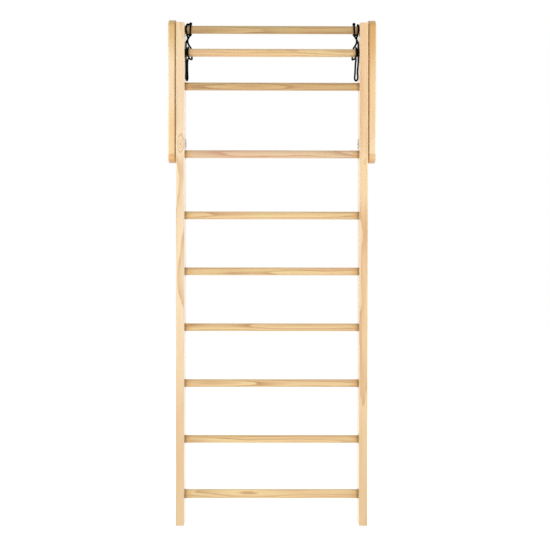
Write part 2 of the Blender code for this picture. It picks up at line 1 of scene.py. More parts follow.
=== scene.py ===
"""Wooden wall bars with two swing-down side arms and a cord sling in each top corner.

Metres, +Z up, the CAD model's own frame: the user stands at -Y and the wall is at +Y. Pieces that come in a left
and a right version are made for side = -1 and side = +1.
"""

from math import cos, pi, radians, sin

import bmesh
import bpy
from mathutils import Matrix, Vector


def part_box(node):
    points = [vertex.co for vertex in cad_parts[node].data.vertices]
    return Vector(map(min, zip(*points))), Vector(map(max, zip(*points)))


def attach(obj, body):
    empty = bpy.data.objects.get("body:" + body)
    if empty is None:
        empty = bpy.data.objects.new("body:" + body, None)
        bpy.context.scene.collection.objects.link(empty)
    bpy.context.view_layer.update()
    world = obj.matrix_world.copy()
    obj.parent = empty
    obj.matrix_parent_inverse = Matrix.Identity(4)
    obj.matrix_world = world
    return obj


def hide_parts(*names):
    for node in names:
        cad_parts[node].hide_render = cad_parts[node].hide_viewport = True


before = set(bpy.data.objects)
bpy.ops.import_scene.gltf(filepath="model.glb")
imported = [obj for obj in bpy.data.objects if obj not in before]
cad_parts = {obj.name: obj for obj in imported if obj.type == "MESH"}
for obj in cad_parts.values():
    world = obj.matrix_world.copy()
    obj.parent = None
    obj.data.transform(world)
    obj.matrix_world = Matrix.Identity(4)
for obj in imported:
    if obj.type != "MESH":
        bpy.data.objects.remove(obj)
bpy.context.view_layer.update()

SIDES = {"left": -1, "right": 1}

# ---------------------------------------------------------------- camera

CAMERA_AT = (-0.0095, -4.4729, 1.1797)
CAMERA_YAW = 0.3092
CAMERA_PITCH = -0.4132
CAMERA_ROLL = 0.0864
CAMERA_LENS = 63.435


def make_camera():
    yaw, pitch, roll = radians(CAMERA_YAW), radians(CAMERA_PITCH), radians(CAMERA_ROLL)
    ahead = Vector((sin(yaw) * cos(pitch), cos(yaw) * cos(pitch), sin(pitch)))
    level = Vector((cos(yaw), -sin(yaw), 0))
    upright = level.cross(ahead)
    right = level * cos(roll) + upright * sin(roll)
    up = upright * cos(roll) - level * sin(roll)
    data = bpy.data.cameras.new("camera")
    data.lens = CAMERA_LENS
    data.sensor_width = 36
    camera = bpy.data.objects.new("camera", data)
    bpy.context.scene.collection.objects.link(camera)
    turn = Matrix((right, up, -ahead)).transposed().to_4x4()
    camera.matrix_world = Matrix.Translation(CAMERA_AT) @ turn
    bpy.context.scene.camera = camera
    bpy.context.scene.view_settings.view_transform = "Standard"


make_camera()

# ---------------------------------------------------------------- slings: their routes, then their tubes

GAP = 0.0003
INNER = 0.400
RUNG_RADIUS = 0.0185
RUNG_1_HEIGHT = 2.276
RUNG_2_HEIGHT = 2.1705
RUNG_4_HEIGHT = 1.704
CORD_RADIUS = 0.0042
CORD_STEP = 0.0020
WRAP_RADIUS = RUNG_RADIUS + CORD_RADIUS + 0.0013
KNOT_RADIUS = 0.0074
KNOT_LENGTH = 0.0175
KNOT_GAP = 0.0030
KNOT_TURN = 165
KNOT_LIFT = 0.0004
EYE_BOTTOM = 2.0402

# The knot's coil, and how far the cord's two ends stop short of its end faces inside it.
COIL_TURNS = 2.6
COIL_RADIUS = 0.0043
COIL_PITCH = 0.0044
COIL_TUBE = 0.0029
COIL_STEPS = 72
CORD_END_COVER = 0.0045

# How each sling lies, as in part.py. Widths are distances in from the inner face of its stile: near and far are its
# two strands on rung 1, lean how far the near one wanders over the top, second its wrapped strand on rung 2, tail
# the rear strand of its tail. droop is the depth of its loose turn below rung 2, eye the radius of the open eye at
# the foot of the tail, which is turned about the vertical.
SLINGS = {
    "left": {
        "near": 0.0050,
        "far": 0.0252,
        "lean": 0.0085,
        "second": 0.0134,
        "tail": 0.0117,
        "droop": 0.0312,
        "eye": 0.0128,
        "eye_turn": radians(75.5),
        "eye_in": 0.0086,
    },
    "right": {
        "near": 0.0050,
        "far": 0.0240,
        "lean": 0.0010,
        "second": 0.0134,
        "tail": 0.0174,
        "droop": 0.0305,
        "eye": 0.0138,
        "eye_turn": radians(64),
        "eye_in": 0.0140,
    },
}


def about(height, inward, turn, lift=0.0):
    """A point of a wrap round the rung at this height; turn is in degrees from straight below, by the front."""
    t = radians(turn)
    radius = WRAP_RADIUS + lift
    return (inward, -radius * sin(t), height - radius * cos(t))


def knot_end(inward, along):
    """A point on the axis of the knot, which rests on rung 1."""
    t = radians(KNOT_TURN)
    reach = RUNG_RADIUS + KNOT_RADIUS + KNOT_LIFT
    y = -reach * sin(t) - along * cos(t)
    z = RUNG_1_HEIGHT - reach * cos(t) + along * sin(t)
    return (inward, y, z)


def pair_points(middle, sign):
    """One strand of the pair that hangs from rung 1 to rung 2 with half a twist in it."""
    points = []
    for drop, centre, y, twist, half in (
        (0.0365, middle, -0.0088, 45, 0.0049),
        (0.0445, 0.66 * middle + 0.0034, -0.0118, 72, 0.0049),
        (0.0528, 0.34 * middle + 0.0058, -0.0138, 98, 0.0049),
        (0.0612, 0.0092, -0.0152, 130, 0.0050),
    ):
        t = radians(twist)
        shift = sign * half
        points.append((centre + shift * cos(t), y - shift * sin(t), RUNG_1_HEIGHT - drop))
    return points


def eye_points(radius, turned, inward):
    """The open eye at the foot of the tail, in a plane that is turned about the vertical."""
    middle_y = -0.0195
    centre = EYE_BOTTOM + radius
    sides = [(-0.80 * radius, centre + 0.020)]
    for step in range(9):
        turn = pi * (1 + step / 8)
        sides.append((radius * cos(turn), centre + radius * sin(turn)))
    sides.append((0.80 * radius, centre + 0.020))
    return [(inward + across * cos(turned), middle_y + across * sin(turned), z) for across, z in sides]


def sling_route(near, far, lean, second, tail, droop, eye, eye_turn, eye_in):
    """One sling from the knot's front end, round the hitch, down, round rung 2, and back up to the knot.

    The hitch is a turn of cord laid over rung 1 from behind, with the hanging strands brought through it.
    """
    top = RUNG_1_HEIGHT
    low = RUNG_2_HEIGHT
    middle = (near + far) / 2
    half_knot = KNOT_LENGTH / 2 + KNOT_GAP
    hitch = [
        knot_end(far, -half_knot),
        about(top, far, 114, 0.0010),
        about(top, far, 92),
        about(top, far - 0.0004, 68),
        (middle + 0.42 * (far - near), -0.0216, top - 0.0216),
        (middle + 0.28 * (far - near), -0.0226, top - 0.0262),
        (middle, -0.0231, top - 0.0284),
        (middle - 0.28 * (far - near), -0.0226, top - 0.0262),
        (middle - 0.42 * (far - near), -0.0216, top - 0.0216),
        about(top, near + 0.0004, 68),
        about(top, near, 95),
        about(top, near + 0.35 * lean, 137),
        about(top, near + lean, 180, 0.20 * lean),
        about(top, near + lean, 223, 0.10 * lean),
        about(top, near + 0.8 * lean, 267),
        about(top, near + 0.4 * lean, 312),
        (near + 0.0016, 0.0090, top - 0.0242),
        (middle - 0.0056, -0.0008, top - 0.0288),
        *pair_points(middle, -1),
    ]
    turns = [
        (second + 0.0044, -0.0088, low + 0.0318),
        about(low, second + 0.0101, 174, 0.0008),
        about(low, second + 0.0118, 215),
        about(low, second + 0.0134, 260),
        about(low, second + 0.0150, 302),
        (second + 0.0164, 0.0082, low - 0.0275),
        (second + 0.0146, -0.0035, low - droop),
        (second + 0.0098, -0.0152, low - droop - 0.0006),
        (second + 0.0042, -0.0240, low - droop + 0.0050),
        (second + 0.0006, -0.0276, low - 0.0165),
        about(low, second, 93, 0.0008),
        about(low, second, 137),
        about(low, second, 180),
        about(low, second + 0.0004, 223),
        about(low, second + 0.0006, 266),
        about(low, second + 0.0008, 306),
        about(low, second + 0.0010, 340, 0.0012),
        (0.8 * second + 0.2 * tail, -0.0062, low - 0.0308),
        (tail - 0.0004, -0.0150, low - 0.0500),
    ]
    front = [
        (0.0054, -0.0235, low - 0.0480),
        (0.0050, -0.0243, low - 0.0200),
        about(low, 0.0047, 92, 0.0004),
        about(low, 0.0048, 130, 0.0010),
        (0.0050, -0.0186, low + 0.0280),
        *reversed(pair_points(middle, 1)),
        (middle + 0.0058, -0.0028, top - 0.0284),
        (far - 0.0020, 0.0066, top - 0.0249),
        about(top, far, 312),
        about(top, far, 267),
        about(top, far, 229, 0.0006),
        knot_end(far, half_knot),
    ]
    eye_line = eye_points(eye, eye_turn, eye_in)
    return hitch + turns + list(reversed(eye_line)) + front


def smooth_line(points, step):
    """Points at even steps along a smooth curve through the given points."""
    points = [Vector(point) for point in points]
    ends = [points[0] * 2 - points[1]] + points + [points[-1] * 2 - points[-2]]
    fine = []
    for before, start, end, after in zip(ends, ends[1:], ends[2:], ends[3:]):
        fine += [catmull(before, start, end, after, part / 16) for part in range(16)]
    fine.append(points[-1])
    lengths = [0.0]
    for start, end in zip(fine, fine[1:]):
        lengths.append(lengths[-1] + (end - start).length)
    count = round(lengths[-1] / step)
    line = []
    index = 0
    for number in range(count + 1):
        wanted = lengths[-1] * number / count
        while index < len(fine) - 2 and lengths[index + 1] < wanted:
            index += 1
        share = (wanted - lengths[index]) / (lengths[index + 1] - lengths[index])
        line.append(fine[index].lerp(fine[index + 1], min(1.0, share)))
    return line


def catmull(before, start, end, after, share):
    """Centripetal Catmull-Rom curve between start and end."""
    t0 = 0.0
    t1 = t0 + (start - before).length ** 0.5
    t2 = t1 + (end - start).length ** 0.5
    t3 = t2 + (after - end).length ** 0.5
    t = t1 + (t2 - t1) * share
    a1 = before * ((t1 - t) / (t1 - t0)) + start * ((t - t0) / (t1 - t0))
    a2 = start * ((t2 - t) / (t2 - t1)) + end * ((t - t1) / (t2 - t1))
    a3 = end * ((t3 - t) / (t3 - t2)) + after * ((t - t2) / (t3 - t2))
    b1 = a1 * ((t2 - t) / (t2 - t0)) + a2 * ((t - t0) / (t2 - t0))
    b2 = a2 * ((t3 - t) / (t3 - t1)) + a3 * ((t - t1) / (t3 - t1))
    return b1 * ((t2 - t) / (t2 - t1)) + b2 * ((t - t1) / (t2 - t1))


def link(name, mesh, place=(0, 0, 0)):
    piece = bpy.data.objects.new(name, mesh)
    bpy.context.scene.collection.objects.link(piece)
    piece.location = place
    return piece


def tube_mesh(name, line, radius, sides, taper=0.0):
    """A closed tube along a line, with a UV map: U goes round it and V counts metres along it."""
    shape = bmesh.new()
    uv = shape.loops.layers.uv.new("UVMap")
    tangents = []
    for index in range(len(line)):
        tangents.append((line[min(index + 1, len(line) - 1)] - line[max(index - 1, 0)]).normalized())
    normal = tangents[0].orthogonal().normalized()
    rings = []
    along = [0.0]
    for index, point in enumerate(line):
        tangent = tangents[index]
        normal = (normal - tangent * normal.dot(tangent)).normalized()
        across = tangent.cross(normal)
        if index:
            along.append(along[-1] + (point - line[index - 1]).length)
        size = radius
        if taper and index in (0, len(line) - 1):
            size = radius * (1 - taper)
        ring = []
        for step in range(sides):
            turn = 2 * pi * step / sides
            ring.append(shape.verts.new(point + (normal * cos(turn) + across * sin(turn)) * size))
        rings.append(ring)
    for index in range(len(rings) - 1):
        for step in range(sides):
            after = (step + 1) % sides
            here, following = rings[index], rings[index + 1]
            corners = (here[step], here[after], following[after], following[step])
            face = shape.faces.new(corners)
            face.smooth = True
            ends = (along[index], along[index], along[index + 1], along[index + 1])
            turns = (step, step + 1, step + 1, step)
            for loop, turn, end in zip(face.loops, turns, ends):
                loop[uv].uv = (turn / sides, end)
    shape.faces.new(list(reversed(rings[0])))
    shape.faces.new(rings[-1])
    mesh = bpy.data.meshes.new(name)
    shape.to_mesh(mesh)
    shape.free()
    return mesh


def knot_coil():
    """The line of the knot's coil along Y, with both ends tucked in."""
    coils = []
    for step in range(COIL_STEPS + 1):
        share = step / COIL_STEPS
        turn = 2 * pi * COIL_TURNS * (share - 0.5)
        along = COIL_TURNS * COIL_PITCH * (share - 0.5)
        coils.append(Vector((COIL_RADIUS * cos(turn), along, COIL_RADIUS * sin(turn))))
    first = Vector((0.0012, coils[0].y - 0.0006, -0.0008))
    last = Vector((0.0012, coils[-1].y + 0.0006, 0.0008))
    return [first] + coils + [last]


def make_sling(label, side):
    """The cord, and the barrel knot that joins its two ends on top of rung 1."""
    spec = SLINGS[label]
    route = sling_route(**spec)
    inside = KNOT_LENGTH / 2 - CORD_END_COVER
    route = [knot_end(spec["far"], -inside)] + route + [knot_end(spec["far"], inside)]
    line = [Vector((side * (INNER - p[0]), p[1], p[2])) for p in smooth_line(route, CORD_STEP)]
    cord = link(f"cord_{label}", tube_mesh("cord", line, CORD_RADIUS, 20))
    cord.data.materials.append(cord_material)
    knot = link(f"knot_{label}", tube_mesh("knot", knot_coil(), COIL_TUBE, 16, taper=0.4))
    knot.data.materials.append(cord_material)
    tilt = Matrix.Rotation(pi - radians(KNOT_TURN), 4, "X")
    inward, y, z = knot_end(spec["far"], 0)
    knot.matrix_world = Matrix.Translation((side * (INNER - inward), y, z)) @ tilt
    for piece, node in ((cord, f"sling_{label}"), (knot, f"sling_knot_{label}")):
        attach(piece, "frame")
        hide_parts(node)


# ---------------------------------------------------------------- materials


def linear(red, green, blue):
    """A display colour, 0 to 255, as a linear colour with alpha."""
    values = []
    for value in (red / 255, green / 255, blue / 255):
        values.append(value / 12.92 if value <= 0.04045 else ((value + 0.055) / 1.055) ** 2.4)
    return (*values, 1.0)


class Graph:
    """One material's node tree, with short calls that make and join its nodes."""

    def __init__(self, name):
        self.material = bpy.data.materials.new(name)
        self.material.use_nodes = True
        self.tree = self.material.node_tree
        self.shader = self.tree.nodes["Principled BSDF"]

    def feed(self, socket, value):
        if isinstance(value, bpy.types.NodeSocket):
            self.tree.links.new(value, socket)
        else:
            socket.default_value = value

    def node(self, kind, inputs=None, **settings):
        made = self.tree.nodes.new("ShaderNode" + kind)
        for key, value in settings.items():
            setattr(made, key, value)
        for key, value in (inputs or {}).items():
            self.feed(made.inputs[key], value)
        return made

    def math(self, operation, *values):
        made = self.node("Math", operation=operation)
        for socket, value in zip(made.inputs, values):
            self.feed(socket, value)
        return made.outputs[0]

    def mix(self, share, low, high):
        made = self.node("Mix", data_type="RGBA", clamp_factor=True)
        for index, value in ((0, share), (6, low), (7, high)):
            self.feed(made.inputs[index], value)
        return made.outputs[2]

    def fit(self, value, low, high, to_low=0.0, to_high=1.0, smooth=False):
        kind = "SMOOTHSTEP" if smooth else "LINEAR"
        sizes = {"Value": value, "From Min": low, "From Max": high, "To Min": to_low, "To Max": to_high}
        return self.node("MapRange", sizes, interpolation_type=kind).outputs["Result"]

    def stretch(self, vector, scale):
        made = self.node("VectorMath", operation="MULTIPLY")
        self.feed(made.inputs[0], vector)
        self.feed(made.inputs[1], scale)
        return made.outputs["Vector"]

    def noise(self, vector, scale, seed, detail=2.0, roughness=0.5):
        """Noise with its own scale in waves per metre along X, Y and Z."""
        inputs = {"Vector": self.stretch(vector, scale), "W": seed, "Scale": 1.0}
        inputs.update({"Detail": detail, "Roughness": roughness})
        return self.node("TexNoise", inputs, noise_dimensions="4D").outputs[0]

    def finish(self, colour, roughness, height=None, depth=0.0002, strength=0.5):
        self.feed(self.shader.inputs["Base Color"], colour)
        self.feed(self.shader.inputs["Roughness"], roughness)
        if height is not None:
            bump = self.node("Bump", {"Strength": strength, "Distance": depth, "Height": height})
            self.feed(self.shader.inputs["Normal"], bump.outputs["Normal"])
        return self.material


def wood(name, grain, pith, seed, tones, spacing=0.0062, contrast=0.85, knots=(), bands_and_painted_shade=()):
    """Varnished pine. grain is the axis the tree grew along, pith the place of its heart across the grain.

    tones are the pale early wood, the deeper late wood, a warm cast and a fresh pale cast. Each knot is a place
    and a size: the rings bulge round it, and its heart is darker. Each band is an axis, the two places on it
    between which the band grows (on X and Y, on both sides of the origin), how strong it gets and its colour.
    Most bands are painted shade: darker colour put near ends, edges and joints, where shade falls.
    """
    graph = Graph(name)
    place = graph.node("TexCoord").outputs["Object"]
    parts = graph.node("SeparateXYZ", {"Vector": place}).outputs
    length_axis = "XYZ".index(grain)
    cross_axes = [axis for axis in range(3) if axis != length_axis]

    def scale(across, along):
        return tuple(along if axis == length_axis else across for axis in range(3))

    def offset(axis, heart, wander, salt):
        drift = graph.noise(place, scale(5.0, 1.05), seed + salt, detail=2.5)
        drift = graph.math("MULTIPLY_ADD", drift, wander, -0.5 * wander - heart)
        return graph.math("ADD", parts[axis], drift)

    first = offset(cross_axes[0], pith[0], 0.046, 1.7)
    second = offset(cross_axes[1], pith[1], 0.040, 5.3)
    squares = graph.math("ADD", graph.math("POWER", first, 2.0), graph.math("POWER", second, 2.0))
    radius = graph.math("SQRT", squares)
    heart_mask = None
    for spot, size in knots:
        away = graph.node("VectorMath", operation="SUBTRACT")
        graph.feed(away.inputs[0], place)
        graph.feed(away.inputs[1], spot)
        away = graph.stretch(away.outputs["Vector"], scale(1.0 / size, 0.40 / size))
        reach = graph.node("VectorMath", operation="LENGTH")
        graph.feed(reach.inputs[0], away)
        reach = reach.outputs["Value"]
        swell = graph.math("DIVIDE", 1.7 * size, graph.math("ADD", graph.math("POWER", reach, 2.0), 1.0))
        radius = graph.math("SUBTRACT", radius, swell)
        core = graph.fit(reach, 0.10, 0.30, 1.0, 0.0, smooth=True)
        heart_mask = core if heart_mask is None else graph.math("MAXIMUM", heart_mask, core)

    ragged = graph.noise(place, scale(120.0, 4.0), seed + 9.1, detail=3.0)
    uneven = graph.noise(place, scale(26.0, 0.7), seed + 3.3, detail=1.5)
    phase = graph.math("DIVIDE", radius, spacing)
    phase = graph.math("ADD", phase, graph.math("MULTIPLY", ragged, 0.60))
    phase = graph.math("ADD", phase, graph.math("MULTIPLY", uneven, 1.1))
    ring = graph.math("FRACT", phase)
    late = graph.math("POWER", ring, 2.6)
    soft_back = graph.fit(ring, 0.93, 1.0, 1.0, 0.0)
    late = graph.math("MULTIPLY", late, soft_back)

    fibre = graph.noise(place, scale(1150.0, 16.0), seed + 11.0, detail=3.0, roughness=0.6)
    streak = graph.noise(place, scale(240.0, 3.2), seed + 13.0, detail=2.0)
    cast = graph.noise(place, scale(9.0, 1.7), seed + 17.0, detail=2.0)
    patch = graph.noise(place, scale(22.0, 3.4), seed + 19.0, detail=1.0)

    pale, deep, warm, fresh = tones
    colour = graph.mix(graph.math("MULTIPLY", late, contrast), pale, deep)
    colour = graph.mix(graph.fit(cast, 0.42, 0.68, 0.0, 0.55, smooth=True), colour, warm)
    colour = graph.mix(graph.fit(patch, 0.50, 0.75, 0.0, 0.45, smooth=True), colour, fresh)
    colour = graph.mix(graph.fit(streak, 0.55, 0.80, 0.0, 0.30), colour, deep)
    colour = graph.mix(graph.fit(fibre, 0.50, 0.78, 0.0, 0.26), colour, deep)
    if heart_mask is not None:
        rings = graph.fit(graph.noise(place, scale(420.0, 210.0), seed + 23.0), 0.35, 0.65, 0.55, 0.95)
        heart = graph.mix(rings, linear(122, 78, 38), linear(176, 122, 66))
        colour = graph.mix(graph.math("MULTIPLY", heart_mask, 0.70), colour, heart)
    # The bands mix their colours in by place: most of them paint shade near ends, edges and joints.
    for axis, start, stop, amount, blend_colour in bands_and_painted_shade:
        distance = parts[axis] if axis == 2 else graph.math("ABSOLUTE", parts[axis])
        colour = graph.mix(graph.fit(distance, start, stop, 0.0, amount, smooth=True), colour, blend_colour)
    roughness = graph.fit(fibre, 0.3, 0.7, 0.34, 0.47)
    height = graph.math("ADD", graph.math("MULTIPLY", fibre, 0.55), graph.math("MULTIPLY", late, -0.35))
    graph.shader.inputs["Coat Weight"].default_value = 0.75
    graph.shader.inputs["Coat Roughness"].default_value = 0.12
    return graph.finish(colour, roughness, height, depth=0.00025, strength=0.45)


BRAID_STRANDS = 6
BRAID_PITCH = 0.0085


def braid(name):
    """Black braided cord: two families of strands that cross, with painted shade in the grooves between them and
    patches of painted sheen.
    """
    graph = Graph(name)
    uv = graph.node("TexCoord").outputs["UV"]
    parts = graph.node("SeparateXYZ", {"Vector": uv}).outputs
    around = graph.math("MULTIPLY", parts[0], BRAID_STRANDS * 2 * pi)
    along = graph.math("MULTIPLY", parts[1], 2 * pi / BRAID_PITCH)
    first = graph.math("SINE", graph.math("ADD", around, along))
    second = graph.math("SINE", graph.math("SUBTRACT", around, along))
    over = graph.math("SINE", around)
    under = graph.math("SUBTRACT", 1.0, graph.fit(over, -0.2, 0.2))
    first = graph.math("MULTIPLY", first, graph.fit(over, -0.2, 0.2, 0.55, 1.0))
    second = graph.math("MULTIPLY", second, graph.fit(under, 0.0, 1.0, 0.55, 1.0))
    strands = graph.math("MAXIMUM", first, second)
    yarn = graph.math("SINE", graph.math("MULTIPLY", graph.math("ADD", around, along), 3.0))
    place = graph.node("TexCoord").outputs["Object"]
    fuzz = graph.noise(place, (1600.0, 1600.0, 1600.0), 2.0, detail=3.0)
    height = graph.math("MULTIPLY_ADD", yarn, 0.12, graph.math("MULTIPLY_ADD", fuzz, 0.25, strands))
    sheen_patches = graph.noise(place, (60.0, 60.0, 60.0), 4.0)
    # Painted shade and highlight: the colour is darker in the grooves between strands and lighter on their raised
    # crowns.
    colour = graph.mix(graph.fit(height, -0.4, 1.1), linear(5, 5, 6), linear(20, 20, 22))
    # Painted sheen: lighter bluish grey patches.
    colour = graph.mix(graph.fit(sheen_patches, 0.55, 0.8, 0.0, 0.35), colour, linear(34, 34, 38))
    graph.shader.inputs["Specular IOR Level"].default_value = 0.04
    return graph.finish(colour, graph.fit(fuzz, 0.3, 0.7, 0.82, 0.95), height, depth=0.0004, strength=0.8)


def metal(name, base, blend_colour, roughness, wear):
    """Plated, blackened or plain metal: faint mottling, fine tool marks and rubbed spots."""
    graph = Graph(name)
    place = graph.node("TexCoord").outputs["Object"]
    mottle = graph.noise(place, (190.0, 190.0, 190.0), 1.0, detail=3.0)
    marks = graph.noise(place, (90.0, 2600.0, 2600.0), 2.0, detail=2.0)
    spots = graph.noise(place, (520.0, 520.0, 520.0), 3.0, detail=2.0)
    colour = graph.mix(graph.fit(mottle, 0.35, 0.68), base, blend_colour)
    colour = graph.mix(graph.fit(spots, 0.60, 0.74, 0.0, 0.6), colour, wear)
    graph.shader.inputs["Metallic"].default_value = 1.0
    rough = graph.fit(mottle, 0.3, 0.7, roughness - 0.06, roughness + 0.10)
    return graph.finish(colour, rough, marks, depth=0.00008, strength=0.35)


def moulded(name, base, blend_colour):
    graph = Graph(name)
    place = graph.node("TexCoord").outputs["Object"]
    cloud = graph.noise(place, (260.0, 260.0, 260.0), 1.0, detail=2.0)
    grit = graph.noise(place, (2400.0, 2400.0, 2400.0), 2.0, detail=2.0)
    colour = graph.mix(graph.fit(cloud, 0.3, 0.7), base, blend_colour)
    return graph.finish(colour, graph.fit(grit, 0.3, 0.7, 0.42, 0.58), grit, depth=0.00005, strength=0.3)


# Four tones for each kind of board: pale, deep, warm and fresh. Rungs 1, 3 and 4 differ, as in the photograph.
LEFT_STILE_TONES = (linear(232, 210, 176), linear(192, 142, 92), linear(230, 192, 150), linear(232, 214, 170))
RIGHT_STILE_TONES = (linear(232, 202, 158), linear(186, 134, 80), linear(228, 186, 142), linear(230, 208, 156))
ARM_TONES = (linear(232, 203, 158), linear(190, 128, 66), linear(230, 186, 132), linear(232, 210, 170))
RUNG_TONES = (linear(225, 197, 142), linear(168, 110, 60), linear(220, 176, 130), linear(220, 200, 138))
ODD_RUNG_TONES = {
    1: (linear(193, 165, 112), linear(150, 102, 52), linear(193, 151, 92), linear(185, 165, 106)),
    3: (linear(201, 167, 112), linear(140, 84, 34), linear(195, 147, 92), linear(195, 171, 108)),
    4: (linear(217, 188, 148), linear(170, 104, 76), linear(215, 168, 140), linear(211, 190, 144)),
}

# Bands are (axis, where it starts, where it is full, how strong, colour), in the piece's own metres.
# Painted shade on each arm: darker colour on its rounded top end, its rounded lower end and its very foot, and a
# painted shadow along its inner edge beside the stile, which stands proud of it.
ARM_PAINTED_SHADE = (
    (2, 0.580, 0.602, 0.45, linear(192, 148, 90)),
    (2, 0.004, -0.008, 0.62, linear(206, 154, 82)),
    (2, -0.020, -0.040, 0.50, linear(166, 122, 70)),
    (0, 0.0105, 0.0035, 0.78, linear(160, 118, 42)),
)
# Each arm's colour turns paler over part of its length and deeper and warmer towards its top; then comes its painted
# shade.
ARM_BANDS_AND_PAINTED_SHADE = {
    "left": (
        (2, 0.100, 0.320, 0.54, linear(242, 226, 196)),
        (2, 0.380, 0.570, 0.82, linear(204, 163, 92)),
        *ARM_PAINTED_SHADE,
    ),
    "right": (
        (2, 0.220, 0.030, 0.64, linear(244, 222, 188)),
        (2, 0.270, 0.570, 0.82, linear(202, 152, 76)),
        *ARM_PAINTED_SHADE,
    ),
}
# Painted shade on the stiles: darker colour towards the foot below 1.1 m and towards the top above 1.9 m.
STILE_PAINTED_SHADE = ((2, 1.10, 0.10, 0.58, linear(204, 172, 122)), (2, 1.90, 2.30, 0.25, linear(212, 180, 130)))

# Each stile's pith, seed, tones, and knots as (place, size).
STILE_BOARDS = {
    "left": (
        (-0.405, 0.070),
        3.0,
        LEFT_STILE_TONES,
        (((-0.4185, -0.050, 1.744), 0.0105), ((-0.452, -0.020, 0.62), 0.010)),
    ),
    "right": (
        (0.432, 0.085),
        58.0,
        RIGHT_STILE_TONES,
        (((0.4250, -0.050, 1.668), 0.0045), ((0.400, 0.004, 1.02), 0.012)),
    ),
}
# Painted shade at each end of a rung or rail: a warmer, deeper band, then a dark band in the last 16 mm before the
# stile.
RUNG_PAINTED_END_SHADE = (
    (0, 0.360, 0.384, 0.45, linear(220, 172, 100)),
    (0, 0.384, 0.400, 0.72, linear(128, 94, 48)),
)
RUNG_RING_SPACING = 0.0058

cord_material = braid("cord")
zinc = metal("zinc", linear(218, 214, 204), linear(190, 187, 180), 0.36, linear(230, 226, 214))
black_oxide = metal("black_oxide", linear(44, 44, 46), linear(26, 26, 29), 0.42, linear(96, 94, 90))
brass = metal("brass_metal", linear(212, 178, 108), linear(176, 138, 76), 0.33, linear(226, 202, 140))
nylon = moulded("nylon_plastic", linear(226, 224, 214), linear(210, 207, 196))


# ---------------------------------------------------------------- meshes

STILE_WIDTH = 0.038
OUTER = INNER + STILE_WIDTH
SEAT_FLOOR = INNER + 0.020
RAIL_EDGE = 0.003
RUNG_EDGE = 0.0008
RUNG_SANDED_OFF = 0.00008
RUNG_WAVE = 0.00005
ARM_THICKNESS = 0.036
ARM_HALF_DEPTH = 0.042
ARM_REACH = 0.573
ARM_EDGE = 0.006
ARM_INNER = OUTER + 0.0016
ARM_OUTER = ARM_INNER + ARM_THICKNESS
COUNTERBORE_FLOOR = ARM_OUTER - 0.012
COUNTERBORE_RADIUS = 0.015
BOLT_RADIUS = 0.005
BOLT_BORE = 0.0054
BOLT_TIP = 0.383
BOLT_HEAD_RADIUS = 0.0085
BOLT_HEAD_LENGTH = 0.0065
BUSH_RADIUS = 0.008
INSERT_LENGTH = 0.040
WASHER_RADIUS = 0.0135
WASHER_THICKNESS = 0.002
SPACER_THICKNESS = 0.001
STOP_RADIUS = 0.004
STOP_EMBEDDED = 0.0217
STOP_PROUD = 0.0096
STOP_SWING_RADIUS = 0.028
GROOVE_HALF = 0.00435
GROOVE_DEPTH = 0.009
SCREW_SUNK = 0.0008
SCREW_HEAD_LENGTH = 0.0045
SCREW_LENGTH = 0.050
HANGER_THICKNESS = 0.002
HANGER_SCREW_HEAD = 0.0022
CUT_PAST = 0.05


def mesh_of(shape, name):
    bmesh.ops.recalc_face_normals(shape, faces=shape.faces)
    mesh = bpy.data.meshes.new(name)
    shape.to_mesh(mesh)
    shape.free()
    return mesh


def turned_mesh(name, profile, sides):
    """Turn a closed or axis-to-axis profile of (along, radius) points about the X axis."""
    shape = bmesh.new()
    rings = []
    for along, radius in profile:
        if radius == 0:
            rings.append([shape.verts.new((along, 0, 0))])
            continue
        turns = [2 * pi * step / sides for step in range(sides)]
        rings.append([shape.verts.new((along, radius * cos(t), radius * sin(t))) for t in turns])
    pairs = list(zip(rings, rings[1:]))
    if profile[0][1] > 0:
        pairs.append((rings[-1], rings[0]))
    for ring, following in pairs:
        for step in range(sides):
            after = (step + 1) % sides
            if len(ring) == 1:
                shape.faces.new((ring[0], following[step], following[after]))
            elif len(following) == 1:
                shape.faces.new((ring[step], ring[after], following[0]))
            else:
                shape.faces.new((ring[step], ring[after], following[after], following[step]))
    return mesh_of(shape, name)


def box_mesh(name, low, high):
    shape = bmesh.new()
    bmesh.ops.create_cube(shape, size=1.0)
    size = Vector(high) - Vector(low)
    middle = (Vector(high) + Vector(low)) / 2
    bmesh.ops.scale(shape, vec=size, verts=shape.verts)
    bmesh.ops.translate(shape, vec=middle, verts=shape.verts)
    return mesh_of(shape, name)


def prism_mesh(name, outline, low, high):
    """Extrude an outline of (y, z) points along X from low to high."""
    shape = bmesh.new()
    ring = [shape.verts.new((low, y, z)) for y, z in outline]
    grown = bmesh.ops.extrude_face_region(shape, geom=[shape.faces.new(ring)])
    moved = [item for item in grown["geom"] if isinstance(item, bmesh.types.BMVert)]
    bmesh.ops.translate(shape, vec=(high - low, 0, 0), verts=moved)
    return mesh_of(shape, name)


def mirrored(profile, side):
    return [(side * along, radius) for along, radius in profile]


def mirror_mesh(mesh, side):
    """Mirror a mesh that was made for the right side, if it is wanted on the left."""
    if side < 0:
        mesh.transform(Matrix.Scale(-1, 4, (1, 0, 0)))
        mesh.flip_normals()
    return mesh


def shaded(mesh, angle=40):
    """Smooth shading, with sharp edges where faces meet at more than angle degrees."""
    mesh.shade_smooth()
    mesh.set_sharp_from_angle(angle=radians(angle))
    return mesh


def baked(piece):
    """Apply the piece's modifiers to its mesh."""
    graph = bpy.context.evaluated_depsgraph_get()
    mesh = bpy.data.meshes.new_from_object(piece.evaluated_get(graph))
    piece.modifiers.clear()
    piece.data = mesh
    return piece


